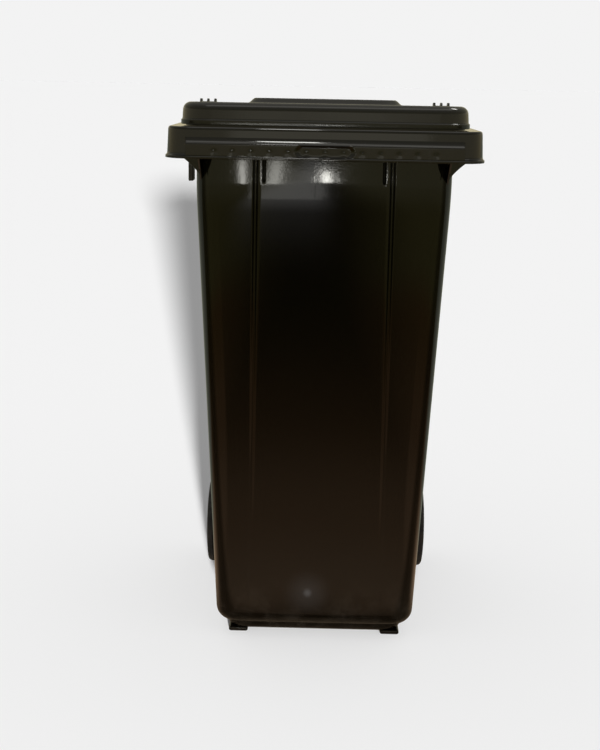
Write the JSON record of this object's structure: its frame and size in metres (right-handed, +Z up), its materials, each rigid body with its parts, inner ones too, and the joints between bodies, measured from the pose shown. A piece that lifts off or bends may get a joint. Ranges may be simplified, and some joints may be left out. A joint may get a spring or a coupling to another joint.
{
  "type": "wheelie bin",
  "caption": "Tall tapered two-wheeled refuse bin with a hinged domed lid, a broad comb-lift collar under the rim, a grip bar across the back and rubber-tyred wheels on a steel axle.",
  "frame": {"origin": "on the floor under the middle of the bin's box, lid closed", "axes": "+Z up, -Y towards the front of the bin, +X to the right as one faces its front"},
  "size_m": [0.58, 0.73, 1.0966],
  "materials": {
    "tub_plastic": "glossy dark olive-brown polyethylene, smooth moulded walls with faint sink marks",
    "lid_plastic": "the tub's plastic, slightly greener and softer in its gloss",
    "clip_plastic": "same colour, satin",
    "pin_plastic": "black satin plastic",
    "tyre_rubber": "matt black solid rubber",
    "hub_plastic": "black moulded plastic, satin",
    "cap_plastic": "black moulded plastic, satin",
    "bush_plastic": "natural acetal",
    "axle_steel": "zinc-plated drawn steel bar",
    "washer_steel": "zinc-plated washer",
    "lock_steel": "bright spring steel"
  },
  "bodies": {
    "tub": {"tub": "tub_plastic", "rim_clip": "clip_plastic", "axle": "axle_steel", "hinge_pin_left": "pin_plastic", "hinge_pin_right": "pin_plastic", "axle_washer_left": "washer_steel", "axle_washer_right": "washer_steel"},
    "lid": {"lid": "lid_plastic"},
    "wheel_left": {"tyre_left": "tyre_rubber", "wheel_centre_left": "hub_plastic", "wheel_bush_left": "bush_plastic", "hub_cap_left": "cap_plastic", "lock_spring_left": "lock_steel"},
    "wheel_right": {"tyre_right": "tyre_rubber", "wheel_centre_right": "hub_plastic", "wheel_bush_right": "bush_plastic", "hub_cap_right": "cap_plastic", "lock_spring_right": "lock_steel"},
    "lock_left": {"lock_plunger_left": "lock_steel"},
    "lock_right": {"lock_plunger_right": "lock_steel"}
  },
  "joints": [
    {"name": "lid_hinge", "type": "hinge", "parent": "tub", "child": "lid", "pos_m": [0, 0.335, 1.0725], "axis": [-1, 0, 0], "range_deg": [0, 270]},
    {"name": "wheel_left_spin", "type": "hinge", "parent": "tub", "child": "wheel_left", "pos_m": [-0.2315, 0.239, 0.1], "axis": [1, 0, 0], "continuous": true},
    {"name": "wheel_right_spin", "type": "hinge", "parent": "tub", "child": "wheel_right", "pos_m": [0.2315, 0.239, 0.1], "axis": [1, 0, 0], "continuous": true},
    {"name": "lock_left_slide", "type": "slide", "parent": "wheel_left", "child": "lock_left", "axis": [0, 0, 1], "range_m": [0, 0.0022], "stiffness_N_per_m": 1500, "springref_m": -0.002, "deforming": ["lock_spring_left"]},
    {"name": "lock_right_slide", "type": "slide", "parent": "wheel_right", "child": "lock_right", "axis": [0, 0, 1], "range_m": [0, 0.0022], "stiffness_N_per_m": 1500, "springref_m": -0.002, "deforming": ["lock_spring_right"]}
  ]
}
